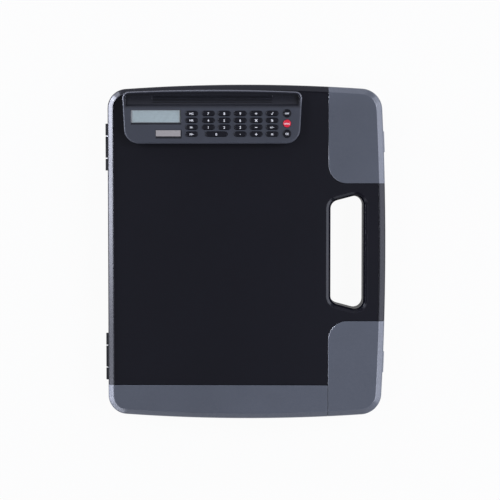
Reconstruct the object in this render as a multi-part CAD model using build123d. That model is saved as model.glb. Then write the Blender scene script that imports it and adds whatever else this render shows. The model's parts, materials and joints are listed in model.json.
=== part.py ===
from build123d import *
import math
import os

# Storage clipboard: a hinged plastic case with a calculator in its clip.
# Millimetres. X runs to the right over the closed case as seen from above, Y runs towards the
# clip, and Z runs up out of the lid. The origin is in the middle of the underside.

# Case outline, seen from above
left_wall_x = -150.6
right_corner_x = 148.4
right_bow = 5.1
corner_y = 177.0
end_bow = 6.0
left_corner_radius = 21.0
right_corner_radius = 23.5

# Shell heights and walls
base_height = 26.0
parting_gap = 0.3
lid_height = 11.7
wall = 2.8
base_edge_radius = 4.0
cavity_edge_radius = 1.6

# Sloping rim of the lid and the writing panel inside it
rim_inset = 6.4
rim_drop = 5.6
skirt_radius = 3.5
lip_land = 0.8
panel_recess = 0.5

# Tongue that keeps the lid in line with the base
tongue_gap = 0.35
tongue_wall = 1.2
tongue_rise = 1.8
tongue_root = 4.0

# Handle hole through both shells
handle_margin = 24.5
handle_width = 35.7
handle_left_half = 55.0
handle_right_half = 64.5
handle_corner_radius = 9.5
handle_wall = 3.0
lip_outer_width = 2.7
lip_outer_depth = 1.5
lip_inner_width = 2.1
lip_inner_depth = 3.0
underside_lip = 2.4

# Wall between the paper bay and the two small bays
divider_wall = 2.2
divider_below_rim = 1.0

# Grey trims over the rim
trim_thickness = 1.3
trim_skirt_gap = 2.0
trim_gap = 0.6
trim_seam = 0.5
trim_side_margin = 2.5
trim_end_margin = 10.9
trim_corner_radius = 20.5
trim_edge = 0.35
band_depth = 37.1
peg_radius = 1.5
peg_gap = 0.1
peg_head_radius = 2.5
peg_head_height = 1.0
peg_setback = 16.0

# Hinges on the left edge
hinge_y = 115.1
hinge_offset = 0.3
knuckle_radius = 2.6
knuckle_gap = 0.4
outer_knuckle = 12.8
middle_knuckle = 23.0
knuckle_space = 1.3
hinge_pin_radius = 1.0
running_fit = 0.05
hinge_boss_depth = 2.9
hinge_boss_reach = 2.8
hinge_boss_height = 12.0
lid_boss_height = 5.0

# Latches on the right edge, in a frame that follows the edge
latch_y = 120.8
latch_length = 22.4
latch_proud = 1.0
latch_plate = 2.0
latch_barrel_radius = 2.7
latch_axis_depth = 1.7
latch_axis_rise = 2.6
latch_foot_z = 13.5
latch_tooth = 0.8
latch_tooth_height = 2.0
latch_catch_gap = 0.35
latch_end_gap = 0.5
latch_foot_gap = 1.0
latch_swing_gap = 0.35
latch_pin_radius = 0.6
latch_pin_seat = 2.6
latch_boss_back = 2.0
latch_boss_reach = 3.4
latch_grip_depth = 0.5
latch_grip_width = 1.4
latch_grip_pitch = 2.4
latch_grips = 3

# Calculator clip, placed from the case's left wall and upper edge
clip_left_margin = 17.6
clip_setback = 6.8
clip_width = 195.0
clip_taper = 3.0
clip_depth = 57.8
clip_bow = 2.3
clip_back_radius = 6.5
clip_front_radius = 16.0
clip_height = 10.4
clip_clearance = 2.1
clip_wall = 2.0
clip_face = 1.8
clip_edge_radius = 1.6

# Thumb dish at the clip's back, and its grip grooves
dish_front = 17.9
dish_rim = 3.0
dish_slope = 2.4
dish_shoulder = 1.0
dish_floor_wall = 1.8
groove_count = 5
groove_pitch = 1.65
groove_start = 13.2
groove_half_length = 65.0
groove_radius = 0.7
groove_depth = 0.4
tail_lift = 2.3
tail_start = 17.1
tail_slope = 2.5

# Clip pivot, bracket, rod, springs and rivets
pivot_setback = 18.6
rod_radius = 1.0
rod_end = 1.0
ear_radius = 2.2
ear_wall = 1.8
ear_places = (24.0, 58.0)
lug_wall = 2.4
lug_gap = 0.4
bracket_plate = 1.2
bracket_half_length = 66.0
bracket_front = 2.5
bracket_back = 9.5
bracket_corner = 2.5
rivet_places = (-50.0, 0.0, 50.0)
rivet_setback = 5.5
rivet_radius = 1.5
rivet_gap = 0.1
rivet_head_radius = 2.6
rivet_head_height = 0.9
spring_place = 41.0
spring_length = 9.0
spring_wire = 0.8
spring_bore_gap = 0.35
spring_plate_gap = 0.35
spring_end_gap = 0.15
spring_leg = 7.5
spring_leg_rise = 0.7

# Cover, screws and jaw pad under the clip
cover_thickness = 1.6
cover_gap = 0.15
cover_end = 2.9
pad_front = 3.5
pad_width = 6.0
pad_half_length = 78.0
pad_thickness = 1.8
screw_radius = 0.8
screw_bore_gap = 0.05
screw_head_radius = 1.7
screw_head_height = 0.9
screw_head_gap = 0.1
screw_reach = 6.0
post_radius = 2.4
boss_radius = 1.6
boss_side_gap = 1.0
solar_screw_side = 15.3

# Calculator parts, stacked under the clip's face
board_thickness = 1.2
board_left_margin = 15.0
board_right_margin = 10.0
board_front = 6.5
board_lug_gap = 1.8
membrane_thickness = 0.6
membrane_margin = 2.0
dome_radius = 2.0
dome_top_radius = 1.2
dome_height = 0.7
cell_radius = 5.8
cell_wall = 1.2
cell_gap = 0.15
cell_slot = 5.0
cell_margin = 0.3

# Display and solar cell, placed from the clip's left side and from the dish
display_left_margin = 9.9
display_back_margin = 3.95
display_width = 53.0
display_height = 13.3
display_proud = 0.5
window_gap = 0.35
window_flange = 1.4
window_flange_height = 0.8
display_glass = 1.8
display_glass_margin = 0.9
zebra_width = 2.0
zebra_height = 0.8
zebra_margin = 3.0
solar_overhang = 0.45
solar_y = 10.95
solar_width = 26.7
solar_height = 6.55
solar_thickness = 1.2
solar_pocket = 1.0
frame_depth = 1.1
frame_front = 2.3
frame_right = 1.1

# Keys, spread over the room between the display, the clip's right side and the dish
memory_column_margin = 12.5
memory_column_space = 0.87
round_column_margin = 16.5
round_column_space = -1.15
top_row_margin = 7.55
bottom_row_y = 10.05
round_back_space = 3.35
bottom_round_y = 10.45
column_bar = 4.3
row_bar = 2.43
round_bar = 2.8
zero_reach = 6.37
key_gap = 0.4
key_lip = 0.5
key_flange = 0.7
key_face_gap = 0.3
key_stem = 0.8
key_stem_inset = 0.6
key_proud = 1.2
key_edge = 0.5

# Places worked out from the sizes above
middle_x = (left_wall_x + right_corner_x) / 2
half_length = corner_y + end_bow
right_reach = right_corner_x + right_bow
lid_bottom = base_height + parting_gap
lid_top = lid_bottom + lid_height
panel_z = lid_top - panel_recess
ceiling_z = lid_top - wall
hinge_axis_x = left_wall_x - hinge_offset
hinge_axis_z = base_height + parting_gap / 2
handle_right_x = right_reach - handle_margin
handle_left_x = handle_right_x - handle_width
trim_left_x = handle_left_x - trim_side_margin
trim_inner_y = handle_right_half + trim_end_margin
band_top_y = band_depth - half_length
latch_axis_z = lid_bottom + latch_axis_rise
clip_x = left_wall_x + clip_left_margin + clip_width / 2
clip_back_y = half_length - clip_setback
clip_front_y = clip_back_y - clip_depth
clip_bottom = panel_z + clip_clearance
clip_top = clip_bottom + clip_height
clip_inner_top = clip_top - clip_face
dish_front_y = clip_back_y - dish_front
pivot_y = clip_back_y - pivot_setback
spring_radius = rod_radius + spring_bore_gap + spring_wire
pivot_z = panel_z + bracket_plate + spring_plate_gap + spring_radius
spring_top = pivot_z + spring_radius + spring_leg_rise
dish_depth = clip_top - dish_floor_wall - spring_end_gap - spring_top
bracket_top = panel_z + bracket_plate
cover_top = clip_bottom + cover_thickness
display_bottom = clip_inner_top - window_flange_height - display_glass
board_top = display_bottom - zebra_height
board_bottom = board_top - board_thickness
membrane_top = board_top + membrane_thickness
beyond = 5.0

# Places on the clip's face, from its middle along X and from its front along Y
face_back_y = clip_depth - dish_front
board_left = board_left_margin - clip_width / 2
board_right = clip_width / 2 - board_right_margin
board_back = clip_depth - pivot_setback - ear_radius - board_lug_gap
display_x = display_left_margin + display_width / 2 - clip_width / 2
display_y = face_back_y - display_back_margin - display_height / 2
solar_x = display_x + display_width / 2 + solar_overhang - solar_width / 2
memory_column_x = display_x + display_width / 2 + memory_column_margin
round_column_x = clip_width / 2 - round_column_margin
column_room = round_column_x - memory_column_x - memory_column_space - round_column_space
column_pitch = column_room / 6
digit_column_x = memory_column_x + memory_column_space + column_pitch
top_row_y = face_back_y - top_row_margin
row_pitch = (top_row_y - bottom_row_y) / 3
round_room = face_back_y - round_back_space + round_bar / 2 - bottom_round_y
round_pitch = round_room / 2.5
top_round_y = bottom_round_y + 2 * round_pitch
pill_length = column_pitch - column_bar
pill_height = row_pitch - row_bar
zero_length = column_pitch + zero_reach
round_diameter = round_pitch - round_bar


# Basic forms

def block(low, high):
    """A block between two opposite corners."""
    size = [b - a for a, b in zip(low, high)]
    centre = [(a + b) / 2 for a, b in zip(low, high)]
    return Pos(*centre) * Box(*size)


def prism(face, bottom, top):
    """A flat face drawn at height 0, made solid between two heights."""
    return extrude(Pos(0, 0, bottom) * face, amount=top - bottom, dir=(0, 0, 1))


def post(radius, x, y, bottom, top):
    """An upright round post."""
    return Pos(x, y, (bottom + top) / 2) * Cylinder(radius, top - bottom)


def bar_along_x(radius, x, length, y, z):
    """A round bar along X, centred on x."""
    return Pos(x, y, z) * Cylinder(radius, length, rotation=(0, 90, 0))


def bar_along_y(radius, y, length, x, z):
    """A round bar along Y, centred on y."""
    return Pos(x, y, z) * Cylinder(radius, length, rotation=(90, 0, 0))


def side_profile(points, x, length):
    """An outline of (y, z) points, made solid along X and centred on x."""
    face = make_face(Polyline(*[(0, y, z) for y, z in points], close=True))
    return extrude(Pos(x - length / 2, 0, 0) * face, amount=length, dir=(1, 0, 0))


def joined(shapes):
    """All the shapes fused into one."""
    shapes = list(shapes)
    return shapes[0] + shapes[1:] if len(shapes) > 1 else shapes[0]


# Outlines seen from above

def rectangle(low, high):
    """A rectangle between two corners."""
    centre = [(a + b) / 2 for a, b in zip(low, high)]
    return Pos(*centre) * Rectangle(high[0] - low[0], high[1] - low[1])


def bow_radius(half_chord, rise):
    """Radius of an arc that rises over a chord."""
    return (half_chord ** 2 + rise ** 2) / (2 * rise)


def disc(x, y, radius):
    """A disc whose seam lies at its left, away from the outlines here."""
    return Pos(x, y) * Rot(0, 0, 180) * Circle(radius)


def case_outline(inset=0.0):
    """The case's bowed outline, moved in by an inset."""
    end_radius = bow_radius((right_corner_x - left_wall_x) / 2, end_bow)
    side_radius = bow_radius(corner_y, right_bow)
    low = (left_wall_x + inset, -half_length)
    face = rectangle(low, (right_reach, half_length))
    face &= disc(middle_x, half_length - end_radius, end_radius - inset)
    face &= disc(middle_x, end_radius - half_length, end_radius - inset)
    face &= disc(right_reach - side_radius, 0, side_radius - inset)
    left_corners = face.vertices().filter_by(lambda v: v.X < middle_x)
    face = fillet(left_corners, left_corner_radius - inset)
    right_corners = face.vertices().sort_by(Axis.X)[-2:]
    return fillet(right_corners, right_corner_radius - inset)


def handle_outline(growth=0.0):
    """The handle hole: wider towards the case's edge, with rounded corners."""
    slope = (handle_right_half - handle_left_half) / handle_width
    lean = growth * math.hypot(1, slope)
    left_half = handle_left_half - growth * slope + lean
    right_half = handle_right_half + growth * slope + lean
    left_x = handle_left_x - growth
    right_x = handle_right_x + growth
    corners = [(left_x, -left_half), (right_x, -right_half), (right_x, right_half), (left_x, left_half)]
    face = make_face(Polyline(*corners, close=True))
    return fillet(face.vertices(), handle_corner_radius + growth)


def clip_outline(inset=0.0):
    """The clip from above: bowed at the back, drawn in towards the jaw."""
    back_half = clip_width / 2
    taper = clip_taper / (clip_depth - clip_bow)
    lean = inset * math.hypot(1, taper)
    front_y = clip_front_y + inset
    front_half = back_half - clip_taper + inset * taper - lean
    far_half = back_half + clip_bow * taper - lean
    sides = [
        (clip_x - front_half, front_y),
        (clip_x + front_half, front_y),
        (clip_x + far_half, clip_back_y),
        (clip_x - far_half, clip_back_y),
    ]
    back_radius = bow_radius(back_half, clip_bow)
    face = make_face(Polyline(*sides, close=True))
    face &= disc(clip_x, clip_back_y - back_radius, back_radius - inset)
    face = fillet(face.vertices().sort_by(Axis.Y)[-2:], clip_back_radius - inset)
    return fillet(face.vertices().sort_by(Axis.Y)[:2], clip_front_radius - inset)


def key_face(length, height, growth=0.0):
    """A key from above: a pill, or a circle where its two sizes are equal."""
    if length > height:
        return SlotOverall(length + 2 * growth, height + 2 * growth)
    return Circle(height / 2 + growth)


# Lid form, shared by the shell, its inside and the trims

def lid_form(depth, bottom):
    """The lid's outer form with its sloping rim, rounded above the skirt, moved in by depth."""
    slope = rim_drop / rim_inset
    lean = math.hypot(1, slope)
    down = rim_drop - depth - slope * depth + depth * lean
    across = (rim_drop - depth + depth * lean) / slope - depth
    form = prism(case_outline(depth), bottom, lid_top - depth)
    top_face = form.faces().sort_by(Axis.Z)[-1]
    form = chamfer(top_face.edges(), across, down, reference=top_face)
    skirt_top = lid_top - depth - down
    skirt_edges = form.edges().filter_by_position(Axis.Z, skirt_top - 0.01, skirt_top + 0.01)
    return fillet(skirt_edges, skirt_radius - depth)


def handle_skirt(bottom, top):
    """The wall round the handle hole."""
    return prism(handle_outline(handle_wall), bottom, top)


def flared_hole(low_growth, low_z, high_growth, high_z):
    """A stretch of the handle hole whose size changes evenly with height."""
    low = Pos(0, 0, low_z) * handle_outline(low_growth)
    high = Pos(0, 0, high_z) * handle_outline(high_growth)
    return loft([low, high], ruled=True)


def handle_lip():
    """The two slopes that lead from the panel down into the handle hole."""
    middle_z = panel_z - lip_outer_depth
    lower_z = middle_z - lip_inner_depth
    outer_growth = lip_inner_width + lip_outer_width
    lower = flared_hole(0, lower_z, lip_inner_width, middle_z)
    upper = flared_hole(lip_inner_width, middle_z, outer_growth, panel_z)
    return lower + upper + prism(handle_outline(outer_growth), panel_z, lid_top + beyond)


# Trims

def band_region(gap):
    """Where the band across the lower edge lies, seen from above."""
    low = (left_wall_x - beyond, -half_length - beyond)
    high = (trim_left_x - trim_seam + gap, band_top_y + gap)
    return rectangle(low, high)


def corner_region(side, gap):
    """Where a corner trim lies: side is 1 for the upper one and -1 for the lower one."""
    inner_x = trim_left_x - gap
    near_y, far_y = sorted((side * (trim_inner_y - gap), side * (half_length + beyond)))
    face = rectangle((inner_x, near_y), (right_reach + beyond, far_y))
    inner_corner = face.vertices().sort_by(lambda v: v.X + side * v.Y)[0]
    return fillet(inner_corner, trim_corner_radius)


def trim_skin():
    """The outer layer of the lid's form, as thick as a trim."""
    return lid_form(0, lid_bottom + trim_skirt_gap) - lid_form(trim_thickness, lid_bottom)


def trim_body(region, skin):
    """A trim without its pegs, its upper edges softened."""
    body = skin & prism(region, lid_bottom, lid_top + beyond)
    top_face = body.faces().sort_by(Axis.Z)[-1]
    return chamfer(top_face.edges(), trim_edge)


def band_pegs():
    """Places of the pegs under the band."""
    y = band_top_y - peg_setback
    first = left_wall_x + rim_inset + peg_setback
    last = trim_left_x - peg_setback
    return [(first, y), ((first + last) / 2, y), (last, y)]


def corner_pegs(side):
    """Places of the pegs under a corner trim."""
    near_x = trim_left_x + peg_setback
    far_x = right_corner_x - rim_inset - peg_setback
    near_y = trim_inner_y + peg_setback
    far_y = corner_y - rim_inset - peg_setback
    return [(far_x, side * near_y), (near_x, side * far_y), (far_x, side * far_y)]


def peg(x, y):
    """A peg melted over at its lower end into a round head."""
    seat = lid_top - trim_thickness
    shank = post(peg_radius, x, y, ceiling_z - peg_head_height / 2, seat + trim_thickness / 2)
    return shank + post(peg_head_radius, x, y, ceiling_z - peg_head_height, ceiling_z)


def peg_holes(places):
    """Holes in the lid's plate for a trim's pegs."""
    return [post(peg_radius + peg_gap, x, y, ceiling_z - beyond, lid_top) for x, y in places]


# Hinges

def knuckle_spans():
    """The three knuckles of a hinge from its middle: start, end and which shell carries it."""
    half_middle = middle_knuckle / 2
    start = half_middle + knuckle_space
    end = start + outer_knuckle
    return [(-end, -start, "base"), (-half_middle, half_middle, "lid"), (start, end, "base")]


def hinge_bars(radius, growth, shell):
    """Round bars on the hinge axes for the knuckles that one shell carries."""
    bars = []
    for centre in (-hinge_y, hinge_y):
        for start, end, carrier in knuckle_spans():
            if carrier == shell:
                length = end - start + 2 * growth
                middle = centre + (start + end) / 2
                bars.append(bar_along_y(radius, middle, length, hinge_axis_x, hinge_axis_z))
    return bars


def hinge_length():
    """From end to end over the three knuckles."""
    return middle_knuckle + 2 * (outer_knuckle + knuckle_space)


def hinge_bosses(bottom, top):
    """Thicker wall behind each hinge."""
    half = hinge_length() / 2 + hinge_boss_reach
    inner_x = left_wall_x + wall + hinge_boss_depth
    return [
        block((left_wall_x + wall / 2, y - half, bottom), (inner_x, y + half, top))
        for y in (-hinge_y, hinge_y)
    ]


def hinge_bores():
    """The bores that take the two hinge pins."""
    return [
        bar_along_y(hinge_pin_radius + running_fit, y, hinge_length(), hinge_axis_x, hinge_axis_z)
        for y in (-hinge_y, hinge_y)
    ]


def hinge_pins():
    """Two steel pins, one for each hinge."""
    pins = [
        bar_along_y(hinge_pin_radius, y, hinge_length(), hinge_axis_x, hinge_axis_z)
        for y in (-hinge_y, hinge_y)
    ]
    return Compound(children=pins)


# Latches, in a frame with X out of the edge, Y along it and Z up

def latch_place(side):
    """The frame on the right edge at a latch."""
    radius = bow_radius(corner_y, right_bow)
    turn = math.asin(latch_y / radius)
    x = right_reach - radius * (1 - math.cos(turn))
    return Pos(x, side * latch_y, 0) * Rot(0, 0, side * math.degrees(turn))


def latch_bar(radius, length):
    """A round bar on the latch's axis."""
    return bar_along_y(radius, 0, length, -latch_axis_depth, latch_axis_z)


def latch_body():
    """The latch: a barrel, a plate with finger grooves, and a tooth at its foot."""
    half = latch_length / 2
    barrel = latch_bar(latch_barrel_radius, latch_length)
    plate_inner = latch_proud - latch_plate
    plate = block((plate_inner, -half, latch_foot_z), (latch_proud, half, latch_axis_z))
    tooth = block(
        (plate_inner - latch_tooth, -half, latch_foot_z),
        (plate_inner, half, latch_foot_z + latch_tooth_height),
    )
    body = barrel + plate + tooth
    foot_edge = body.edges().filter_by(Axis.Y).filter_by(
        lambda e: abs(e.center().X - latch_proud) < 0.01 and e.center().Z < latch_foot_z + 0.01
    )
    body = fillet(foot_edge, latch_plate / 2)
    first_grip = latch_foot_z + latch_grip_pitch
    for index in range(latch_grips):
        z = first_grip + index * latch_grip_pitch
        groove = bar_along_y(latch_grip_width / 2, 0, latch_length + beyond, 0, z)
        body -= Pos(latch_proud + latch_grip_width / 2 - latch_grip_depth, 0, 0) * groove
    return body - latch_bar(latch_pin_radius + running_fit, latch_length + beyond)


def latch_recess_in_lid():
    """The space in the lid's wall that the barrel turns in."""
    half = latch_length / 2 + latch_end_gap
    radius = latch_barrel_radius + latch_swing_gap
    slot = block((-latch_axis_depth - radius, -half, lid_bottom - beyond), (beyond, half, latch_axis_z))
    return latch_bar(radius, 2 * half) + slot


def latch_recess_in_base():
    """The space in the base's wall behind the latch, with the catch that its tooth snaps over."""
    half = latch_length / 2 + latch_end_gap
    tooth_x = latch_proud - latch_plate - latch_tooth
    catch_x = tooth_x - latch_catch_gap
    back_x = catch_x - latch_tooth
    bottom = latch_foot_z - latch_foot_gap
    catch_z = latch_foot_z + latch_tooth_height + latch_catch_gap
    recess = block((back_x, -half, bottom), (beyond, half, base_height + beyond))
    catch = block((back_x, -half, catch_z), (catch_x, half, catch_z + latch_tooth_height))
    return recess - catch


def latch_boss(bottom, top):
    """Thicker wall behind a latch, with room for its pin."""
    half = latch_length / 2 + latch_end_gap + latch_boss_reach
    back_x = -latch_axis_depth - latch_barrel_radius - latch_swing_gap - latch_boss_back
    return block((back_x, -half, bottom), (-wall / 2, half, top))


def latch_pin_length():
    """A latch's pin reaches into the lid at both ends of the recess."""
    return latch_length + 2 * latch_end_gap + 2 * latch_pin_seat


def latch_pins():
    """The steel pins that the latches turn on."""
    pins = [latch_place(side) * latch_bar(latch_pin_radius, latch_pin_length()) for side in (1, -1)]
    return Compound(children=pins)


# Shells

def base_tray():
    """The base's floor and walls."""
    outer = prism(case_outline(), 0, base_height)
    outer = fillet(outer.faces().sort_by(Axis.Z)[0].edges(), base_edge_radius)
    inner = prism(case_outline(wall), wall, base_height + beyond)
    inner = fillet(inner.faces().sort_by(Axis.Z)[0].edges(), cavity_edge_radius)
    return outer - inner


def tongue_ring():
    """The ring inside the base's wall that stands up into the lid."""
    inner_inset = wall + tongue_gap + tongue_wall
    hollow = prism(case_outline(inner_inset), 0, lid_top)
    root = prism(case_outline(wall / 2), base_height - tongue_root, base_height)
    ring = prism(case_outline(wall + tongue_gap), base_height - tongue_root, base_height + tongue_rise)
    return (root + ring) - hollow


def tongue_openings():
    """Where the tongue is left out, at the hinges and the latches."""
    half_hinge = hinge_length() / 2 + hinge_boss_reach + tongue_rise
    half_latch = latch_length / 2 + latch_end_gap + latch_boss_reach + tongue_rise
    deep = wall + hinge_boss_depth + tongue_rise
    low_z = base_height
    high_z = lid_top
    cuts = []
    for y in (-hinge_y, hinge_y):
        low = (left_wall_x - beyond, y - half_hinge, low_z)
        cuts.append(block(low, (left_wall_x + deep, y + half_hinge, high_z)))
    for side in (-1, 1):
        cut = block((-deep - beyond, -half_latch, low_z), (beyond, half_latch, high_z))
        cuts.append(latch_place(side) * cut)
    return cuts


def base_shell():
    """The storage tray with its bays, handle wall, hinge knuckles and catches."""
    shell = base_tray() + (tongue_ring() - joined(tongue_openings()))
    divider_right = handle_left_x - handle_wall / 2
    divider = block(
        (divider_right - divider_wall, -half_length, wall / 2),
        (divider_right, half_length, base_height - divider_below_rim),
    )
    shell += divider & prism(case_outline(wall / 2), 0, base_height)
    shell += handle_skirt(0, base_height)
    for boss in hinge_bosses(base_height - hinge_boss_height, base_height):
        shell += boss
    inside = prism(case_outline(wall / 2), 0, base_height)
    for side in (-1, 1):
        shell += (latch_place(side) * latch_boss(wall / 2, base_height)) & inside
    shell -= hinge_bars(knuckle_radius + knuckle_gap, knuckle_space / 2, "lid")
    shell += hinge_bars(knuckle_radius, 0, "base")
    shell -= hinge_bores()
    for side in (-1, 1):
        shell -= latch_place(side) * latch_recess_in_base()
    shell -= prism(handle_outline(), -beyond, base_height + beyond)
    return shell - flared_hole(underside_lip, 0, 0, underside_lip)


def lid_shell(skin):
    """The lid with its writing panel, rim, handle lip and trim pockets."""
    outer = lid_form(0, lid_bottom)
    shell = outer - lid_form(wall, lid_bottom - beyond)
    shell += handle_skirt(lid_bottom, ceiling_z + wall / 2)
    shell += [boss & outer for boss in hinge_bosses(lid_bottom, lid_bottom + lid_boss_height)]
    inside = lid_form(wall / 2, lid_bottom)
    for side in (-1, 1):
        shell += (latch_place(side) * latch_boss(lid_bottom, ceiling_z + wall / 2)) & inside
    regions = trim_regions(trim_gap)
    panel = prism(case_outline(rim_inset + lip_land), panel_z, lid_top + beyond)
    shell -= panel - [prism(region, lid_bottom, lid_top + beyond) for region in regions]
    shell -= [skin & prism(region, lid_bottom, lid_top + beyond) for region in regions]
    shell -= hinge_bars(knuckle_radius + knuckle_gap, knuckle_space / 2, "base")
    shell += hinge_bars(knuckle_radius, 0, "lid")
    shell -= hinge_bores()
    for side in (-1, 1):
        shell -= latch_place(side) * latch_recess_in_lid()
        shell -= latch_place(side) * latch_bar(latch_pin_radius + running_fit, latch_pin_length())
    shell -= prism(handle_outline(), lid_bottom - beyond, lid_top + beyond)
    shell -= handle_lip()
    shell -= peg_holes(band_pegs() + corner_pegs(1) + corner_pegs(-1))
    return shell - [
        post(rivet_radius + rivet_gap, x, y, ceiling_z - beyond, lid_top) for x, y in rivet_centres()
    ]


def trim_regions(gap):
    """The regions of the three trims."""
    return [band_region(gap), corner_region(1, gap), corner_region(-1, gap)]


def trims(skin):
    """The three trims with their pegs, cut clear of the hinges and latches."""
    places = [band_pegs(), corner_pegs(1), corner_pegs(-1)]
    result = []
    for region, pegs in zip(trim_regions(0), places):
        body = trim_body(region, skin)
        body -= hinge_bars(knuckle_radius + knuckle_gap, knuckle_space / 2, "base")
        for side in (-1, 1):
            body -= latch_place(side) * latch_recess_in_lid()
            body -= latch_place(side) * latch_bar(latch_pin_radius + running_fit, latch_pin_length())
        body += [peg(x, y) for x, y in pegs]
        result.append(body)
    return result


# Clip mechanism

def rivet_centres():
    """Places of the bracket's rivets."""
    return [(clip_x + place, pivot_y + rivet_setback) for place in rivet_places]


def ear_centres():
    """Places of the bracket's ears along X."""
    return [clip_x + side * place for place in ear_places for side in (-1, 1)]


def lug_centres():
    """Places of the housing's lugs, each outside its ear."""
    step = ear_wall / 2 + lug_gap + lug_wall / 2
    return [clip_x + side * (place + step) for place in ear_places for side in (-1, 1)]


def clip_bracket():
    """The steel bracket on the lid, with four ears that hold the pivot rod."""
    front = pivot_y - bracket_front
    back = pivot_y + bracket_back
    plate = block(
        (clip_x - bracket_half_length, front, panel_z),
        (clip_x + bracket_half_length, back, bracket_top),
    )
    plate = fillet(plate.edges().filter_by(Axis.Z), bracket_corner)
    ears = []
    for x in ear_centres():
        low = (x - ear_wall / 2, pivot_y - ear_radius, panel_z)
        ears.append(block(low, (x + ear_wall / 2, pivot_y + ear_radius, pivot_z)))
        ears.append(bar_along_x(ear_radius, x, ear_wall, pivot_y, pivot_z))
    bracket = plate + ears
    rod_length = 2 * bracket_half_length
    bracket -= bar_along_x(rod_radius + running_fit, clip_x, rod_length, pivot_y, pivot_z)
    return bracket - [
        post(rivet_radius + rivet_gap, x, y, panel_z - beyond, clip_top) for x, y in rivet_centres()
    ]


def bracket_rivets():
    """Rivets through the bracket and the lid, headed at both ends."""
    rivets = []
    for x, y in rivet_centres():
        shank = post(rivet_radius, x, y, ceiling_z - rivet_head_height, bracket_top + rivet_head_height)
        upper = post(rivet_head_radius, x, y, bracket_top, bracket_top + rivet_head_height)
        lower = post(rivet_head_radius, x, y, ceiling_z - rivet_head_height, ceiling_z)
        upper = chamfer(upper.edges().sort_by(Axis.Z)[-1], rivet_head_height / 2)
        rivets.append(shank + upper + lower)
    return Compound(children=rivets)


def rod_length():
    """From end to end of the pivot rod, which reaches past the outer lugs."""
    outer = ear_places[-1] + ear_wall / 2 + lug_gap + lug_wall
    return 2 * (outer + rod_end)


def pivot_rod():
    """The rod that the clip turns on."""
    return bar_along_x(rod_radius, clip_x, rod_length(), pivot_y, pivot_z)


def clip_springs():
    """Two torsion springs on the rod, each a wound sleeve with two legs."""
    inner = rod_radius + spring_bore_gap
    leg_y = pivot_y + spring_leg
    springs = []
    for side in (-1, 1):
        x = clip_x + side * spring_place
        sleeve = bar_along_x(spring_radius, x, spring_length, pivot_y, pivot_z)
        low = pivot_z - spring_radius
        lower = [(pivot_y, low), (leg_y, low), (leg_y, low + spring_wire), (pivot_y, low + spring_wire)]
        high = pivot_z + spring_radius
        upper = [
            (pivot_y, high - spring_wire),
            (leg_y, spring_top - spring_wire),
            (leg_y, spring_top),
            (pivot_y, high),
        ]
        shift = (spring_length - spring_wire) / 2
        legs = side_profile(lower, x - shift, spring_wire) + side_profile(upper, x + shift, spring_wire)
        bore = bar_along_x(inner, x, spring_length + beyond, pivot_y, pivot_z)
        springs.append(sleeve + legs - bore)
    return Compound(children=springs)


# Clip housing and cover

def dish_floor_arc():
    """The thumb dish's floor in side view: its lowest height, its lowest Y and its radius."""
    start_y = dish_front_y + dish_slope
    end_y = clip_back_y - dish_rim
    half = (end_y - start_y) / 2
    radius = (half ** 2 + dish_shoulder ** 2) / (2 * dish_shoulder)
    return clip_top - dish_depth, (start_y + end_y) / 2, radius


def dish_floor_z(y):
    """Height of the dish's floor."""
    low, middle, radius = dish_floor_arc()
    return low + radius - math.sqrt(radius ** 2 - (y - middle) ** 2)


def thumb_dish():
    """What is scooped out of the housing's back for the thumb."""
    low, middle, radius = dish_floor_arc()
    start_y = dish_front_y + dish_slope
    end_y = clip_back_y - dish_rim
    edge = low + dish_shoulder
    top = clip_top + beyond
    far_y = clip_back_y + beyond
    floor = ThreePointArc((0, start_y, edge), (0, middle, low), (0, end_y, edge))
    rest = Polyline(
        (0, end_y, edge),
        (0, far_y, edge),
        (0, far_y, top),
        (0, dish_front_y, top),
        (0, dish_front_y, clip_top),
        (0, start_y, edge),
    )
    face = make_face([floor, *rest.edges()])
    scoop = extrude(Pos(clip_x - clip_width, 0, 0) * face, amount=2 * clip_width, dir=(1, 0, 0))
    return scoop & prism(clip_outline(dish_rim), clip_bottom, top)


def grip_grooves():
    """Grooves along the dish's floor."""
    bars = []
    for index in range(groove_count):
        y = clip_back_y - groove_start + index * groove_pitch
        z = dish_floor_z(y) + groove_radius - groove_depth
        bars.append(bar_along_x(groove_radius, clip_x, 2 * groove_half_length, y, z))
    return bars


def tail_cut():
    """The underside of the thumb end, raised so that it can be pressed down."""
    start = clip_back_y - tail_start
    lifted = clip_bottom + tail_lift
    far = clip_back_y + beyond
    points = [
        (start, clip_bottom - beyond),
        (start, clip_bottom),
        (start + tail_slope, lifted),
        (far, lifted),
        (far, clip_bottom - beyond),
    ]
    return side_profile(points, clip_x, 2 * clip_width)


def clip_hollow():
    """The inside of the housing: a deep front for the calculator and a low back."""
    front_end = dish_front_y - dish_slope
    plan = clip_outline(clip_wall)
    front = prism(plan, clip_bottom - beyond, clip_inner_top)
    front &= block(
        (clip_x - clip_width, clip_front_y - beyond, 0), (clip_x + clip_width, front_end, clip_top)
    )
    back = prism(plan, clip_bottom - beyond, clip_top - dish_depth - dish_floor_wall)
    return front + back


def lugs():
    """Lugs inside the housing that hang on the pivot rod."""
    parts = []
    top = clip_top - dish_depth - dish_floor_wall / 2
    for x in lug_centres():
        low = (x - lug_wall / 2, pivot_y - ear_radius, pivot_z)
        parts.append(block(low, (x + lug_wall / 2, pivot_y + ear_radius, top)))
        parts.append(bar_along_x(ear_radius, x, lug_wall, pivot_y, pivot_z))
    return parts


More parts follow.
